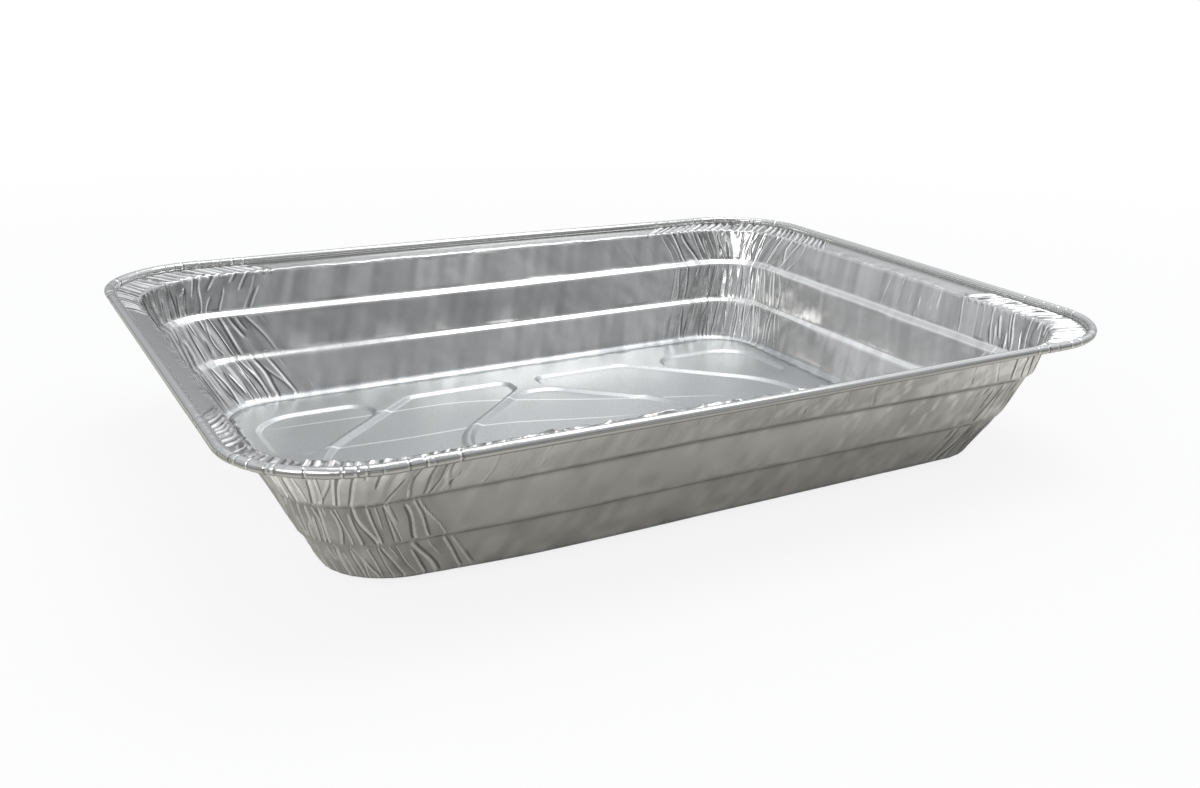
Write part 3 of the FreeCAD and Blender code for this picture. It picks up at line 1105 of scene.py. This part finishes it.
def paintedFloorHighlights(finish, x, y):
    # Wavy painted highlight lines along the floor that slant towards the front on the right
    slant = finish.node("ShaderNodeMath", {"operation": "SMOOTH_MAX"},
                        {0: x - floorHighlightLines["turnAt"], 1: 0.0, 2: floorHighlightLines["turnSoftness"]})
    total = 0.0
    for middle, share, waviness, phase, depth, rightEnd in floorHighlightLines["lines"]:
        across = y + slant * share + (x * waviness + phase).sine() * depth
        line = finish.band(across, middle, floorHighlightLines["width"])
        total = total + line * finish.range(x, *rightEnd)
    return total * finish.range(x, *floorHighlightLines["leftEnd"])


def makeFoil():
    values = foilFinish
    finish = Finish("rolled aluminium foil")
    place = finish.node("ShaderNodeTexCoord", output="Object")
    x, y, height = [finish.node("ShaderNodeSeparateXYZ", {}, {0: place}, output=axis) for axis in "XYZ"]
    wall = finish.range(height, *values["wallFrom"])
    mark = finish.node("ShaderNodeAttribute", {"attribute_name": "paintedFoldLight"}, output="Fac")
    paintedPatch = finish.node("ShaderNodeAttribute", {"attribute_name": "paintedPatch"}, output="Fac")
    # Painted highlight on the fold crests and painted shade in the pinches
    crest = finish.range(mark, *values["highlightMarks"])
    paintedShade = finish.range(mark, *values["shadeMarks"])
    stretched = finish.node("ShaderNodeMapping", {}, {"Vector": place, "Scale": values["lineStretch"]})
    lines = finish.noise(stretched, *values["lines"])
    clouds = finish.noise(place, *values["clouds"])
    speckles = finish.noise(place, *values["speckles"])
    grain = finish.noise(place, *values["grain"])

    roughness = wall * (values["roughness"] - values["floorRoughness"]) + values["floorRoughness"]
    roughness = roughness + (lines - 0.5) * values["lineRoughness"]
    roughness = roughness + (clouds - 0.5) * values["cloudRoughness"] + crest * values["crestRoughness"]

    # The floor painted darker than the walls, with random speckles and painted highlight lines
    onFloor = (speckles - 0.5) * values["speckleShade"] - values["paintedFloorShade"]
    onFloor = onFloor + paintedFloorHighlights(finish, x, y) * floorHighlightLines["shade"]
    # Painted patches of light and shade on the walls and flange
    plain = paintedPatch * values["patchContrast"] + values["colour"] + onFloor * (1.0 - wall)
    # The painted highlight and painted shade take over the plain colour
    shade = plain + crest * (values["paintedHighlightColour"] - plain) + paintedShade * (values["paintedShadeColour"] - plain)
    # Painted reflection tints: the walls a little warmer, the floor a little bluer
    tints = zip(values["paintedWallTint"], values["paintedFloorTint"])
    red, green, blue = [shade * (wall * (above - below) + below) for above, below in tints]
    colour = finish.node("ShaderNodeCombineColor", {}, {0: red, 1: green, 2: blue})

    bump = finish.node("ShaderNodeBump", {}, {"Height": grain + lines * wall * values["lineDepth"],
                                              "Distance": values["grainDepth"]})
    finish.set(Base_Color=colour, Metallic=1.0, Roughness=roughness, Normal=bump)
    return finish.material


foil = makeFoil()
for piece in makePan() + [makeSheet("curled_bead", beadRows())]:
    piece.data.materials.append(foil)
    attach(piece, "root")
    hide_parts("foil_tray")
    count = sum(len(polygon.vertices) - 2 for polygon in piece.data.polygons)
    print("piece", piece.name, count, "triangles")


# Studio: pale floor, soft lamps, plain world

# Each lamp has its place, its power and its size. The blinds are pairs of a spacing and a phase.
studio = {
    "paperSeen": 0.90,
    "paperMirrored": 0.74,
    "paperTint": (1.0, 0.97, 0.9),
    "paperRoughness": 0.9,
    "floorSize": 40.0,
    "whiteNear": 0.85,
    "whiteFrom": 0.2,
    "whiteAt": 0.9,
    "horizonLight": 0.36,
    "skyLight": 0.76,
    "skyFrom": (0.0, 0.62),
    "skyTint": (1.0, 1.03, 1.06),
    "frontShade": 0.55,
    "frontFade": (-0.7, 0.3),
    "rightLift": 1.4,
    "rightFade": (0.2, 0.9),
    "blindsDepth": 0.16,
    "blinds": ((8.0, 2.1), (10.4, 3.8), (9.7, 5.2)),
    "aim": (0.0, 0.0, 0.02),
    "lamps": (
        ("overhead window", (0.42, 0.09, 1.05), 2.6, (1.1, 0.35)),
        ("skylight over the left end", (0.0, 0.14, 1.3), 1.6, (0.34, 0.8)),
        ("window at the front left", (-0.95, -0.6, 0.62), 3.6, (0.8, 0.6)),
    ),
}
white = (1.0, 1.0, 1.0, 1.0)


def makeFloor():
    # The camera sees pale paper that turns plain white far away, the foil reflects it as a grey table
    finish = Finish("pale studio paper")
    seen = finish.node("ShaderNodeLightPath", output="Is Camera Ray")
    shade = seen * (studio["paperSeen"] - studio["paperMirrored"]) + studio["paperMirrored"]
    red, green, blue = [shade * (seen * (1.0 - tint) + tint) for tint in studio["paperTint"]]
    colour = finish.node("ShaderNodeCombineColor", {}, {0: red, 1: green, 2: blue})
    finish.set(Base_Color=colour, Roughness=studio["paperRoughness"])
    place = finish.node("ShaderNodeTexCoord", output="Object")
    distance = finish.node("ShaderNodeVectorMath", {"operation": "LENGTH"}, {0: place}, output="Value")
    far = finish.range(distance, studio["whiteFrom"], studio["whiteAt"], studio["whiteNear"], 1.0)
    glow = finish.node("ShaderNodeEmission", {}, {"Color": white, "Strength": 1.0})
    paper = Field(finish, finish.shader.outputs[0])
    mixed = finish.node("ShaderNodeMixShader", {}, {0: seen * far, 1: paper, 2: glow})
    finish.feed(finish.surface.inputs["Surface"], mixed)
    size = studio["floorSize"] / 2
    mesh = bpy.data.meshes.new("studio_floor")
    corners = [(-size, -size, 0), (size, -size, 0), (size, size, 0), (-size, size, 0)]
    mesh.from_pydata(corners, [], [(0, 1, 2, 3)])
    mesh.materials.append(finish.material)
    shown("studio_floor", mesh)


def makeLamps():
    aim = Vector(studio["aim"])
    for name, place, power, (width, depth) in studio["lamps"]:
        light = bpy.data.lights.new(name, "AREA")
        light.shape = "RECTANGLE"
        light.size = width
        light.size_y = depth
        light.energy = power
        lamp = shown(name, light)
        lamp.location = place
        lamp.rotation_euler = (aim - Vector(place)).to_track_quat("-Z", "Y").to_euler()


def makeWorld():
    # Dim at the horizon and towards the front, so the folds have something dark to mirror
    world = bpy.data.worlds.new("studio")
    bpy.context.scene.world = world
    room = Nodes(world)
    direction = room.node("ShaderNodeTexCoord", output="Generated")
    x, y, z = [room.node("ShaderNodeSeparateXYZ", {}, {0: direction}, output=axis) for axis in "XYZ"]
    rise = room.range(z, *studio["skyFrom"])
    level = rise * (studio["skyLight"] - studio["horizonLight"]) + studio["horizonLight"]
    level = level * room.range(y, *studio["frontFade"], studio["frontShade"], 1.0)
    level = level * room.range(x, *studio["rightFade"], 1.0, studio["rightLift"])
    across, along, slanted = [(way * spacing + phase).sine()
                              for way, (spacing, phase) in zip((x, y, x - y + z), studio["blinds"])]
    level = level * ((across * along + slanted) * studio["blindsDepth"] + 1.0)
    red, green, blue = [level * tint for tint in studio["skyTint"]]
    colour = room.node("ShaderNodeCombineColor", {}, {0: red, 1: green, 2: blue})
    light = room.node("ShaderNodeBackground", {}, {"Color": colour, "Strength": 1.0})
    plain = room.node("ShaderNodeBackground", {}, {"Color": white, "Strength": 1.0})
    seen = room.node("ShaderNodeLightPath", output="Is Camera Ray")
    mixed = room.node("ShaderNodeMixShader", {}, {0: seen, 1: light, 2: plain})
    room.feed(world.node_tree.nodes["World Output"].inputs["Surface"], mixed)


makeFloor()
makeLamps()
makeWorld()
print("studio ready")


# Camera at the photograph's angle

view = {
    "place": (-0.217274, -0.433370, 0.178193),
    "yaw": 0.60203,
    "pitch": 0.33989,
    "roll": 0.03659,
    "sensor": 36.0,
    "frameWidth": 1200.0,
    "lensPixels": 1260.41,
    "shiftPixels": (-163.92, 24.08),
}


def makeCamera():
    yaw, pitch, roll = view["yaw"], view["pitch"], view["roll"]
    forward = Vector((math.sin(yaw) * math.cos(pitch), math.cos(yaw) * math.cos(pitch), -math.sin(pitch)))
    right = Vector((math.cos(yaw), -math.sin(yaw), 0))
    up = right.cross(forward)
    turnedRight = right * math.cos(roll) + up * math.sin(roll)
    turnedUp = up * math.cos(roll) - right * math.sin(roll)
    data = bpy.data.cameras.new("camera")
    data.sensor_width = view["sensor"]
    data.lens = view["lensPixels"] * view["sensor"] / view["frameWidth"]
    data.shift_x, data.shift_y = [pixels / view["frameWidth"] for pixels in view["shiftPixels"]]
    camera = shown("camera", data)
    turn = Matrix((turnedRight, turnedUp, -forward)).transposed().to_4x4()
    camera.matrix_world = Matrix.Translation(Vector(view["place"])) @ turn
    bpy.context.scene.camera = camera


makeCamera()
bpy.context.scene.view_settings.view_transform = "Standard"
bpy.context.view_layer.update()
